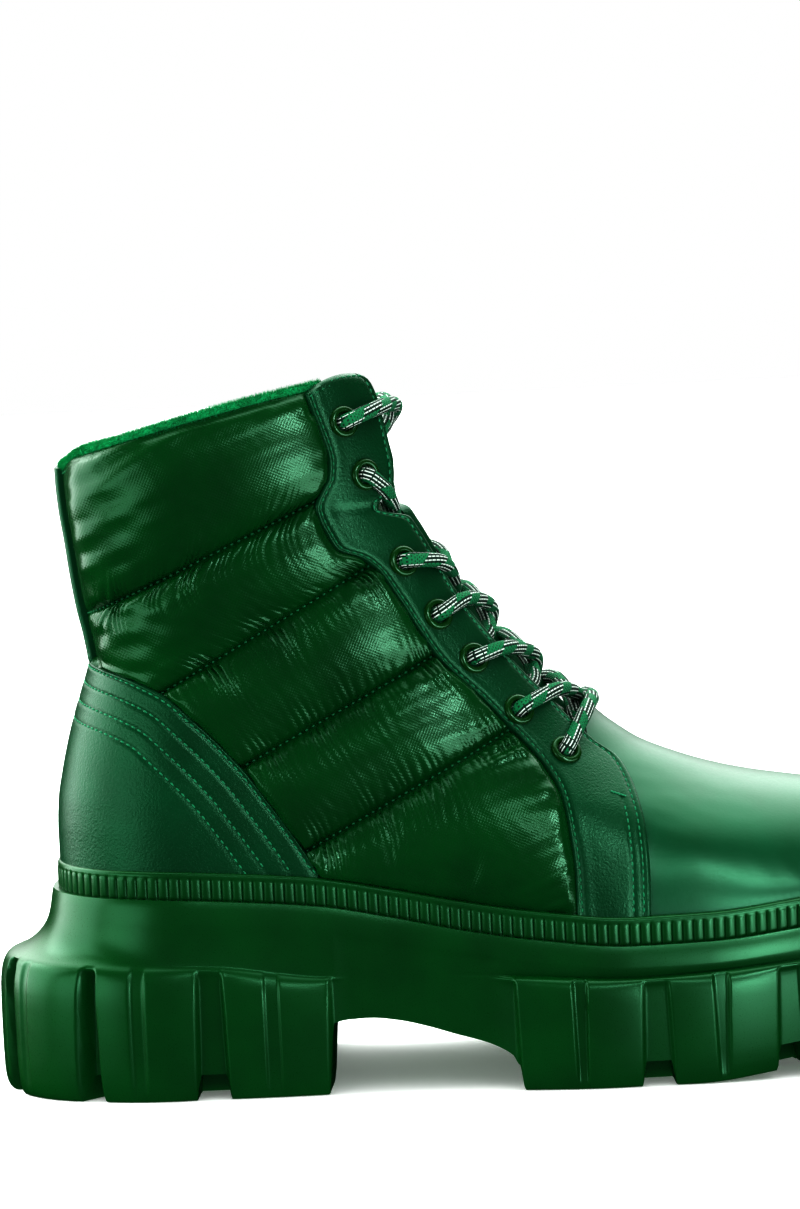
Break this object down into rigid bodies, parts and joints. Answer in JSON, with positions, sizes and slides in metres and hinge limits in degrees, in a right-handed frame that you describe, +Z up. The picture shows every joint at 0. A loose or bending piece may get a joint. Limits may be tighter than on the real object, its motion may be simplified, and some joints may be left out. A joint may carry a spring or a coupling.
{
  "type": "puffer boot",
  "caption": "Right ankle boot with a padded quilted shell, leather heel patch and lace facings, corded lacing and a deep lugged rubber sole.",
  "frame": {"origin": "on the floor, under the middle of the boot's box", "axes": "+X from heel to toe, +Y from the lateral to the medial side, +Z up from the floor"},
  "size_m": [0.2916, 0.1165, 0.195],
  "materials": {
    "rubber": "satin moulded",
    "felt": "matt felt",
    "nylon": "glossy coated nylon",
    "leather": "smooth semi-matt",
    "enamel": "enamelled",
    "lace": "woven cord"
  },
  "bodies": {
    "root": {"outsole": "rubber", "welt": "rubber", "insole": "felt", "upper": "nylon", "tongue": "nylon", "counter": "leather", "backstay": "leather", "eyestay_lateral": "leather", "eyestay_medial": "leather", "eyelet_lateral_1": "enamel", "eyelet_lateral_2": "enamel", "eyelet_lateral_3": "enamel", "eyelet_lateral_4": "enamel", "eyelet_lateral_5": "enamel", "eyelet_lateral_6": "enamel", "eyelet_lateral_7": "enamel", "eyelet_medial_1": "enamel", "eyelet_medial_2": "enamel", "eyelet_medial_3": "enamel", "eyelet_medial_4": "enamel", "eyelet_medial_5": "enamel", "eyelet_medial_6": "enamel", "eyelet_medial_7": "enamel", "lace_cross_1": "lace", "lace_cross_2": "lace", "lace_cross_3": "lace", "lace_cross_4": "lace", "lace_cross_5": "lace", "lace_cross_6": "lace", "lace_bar": "lace"}
  },
  "joints": []
}
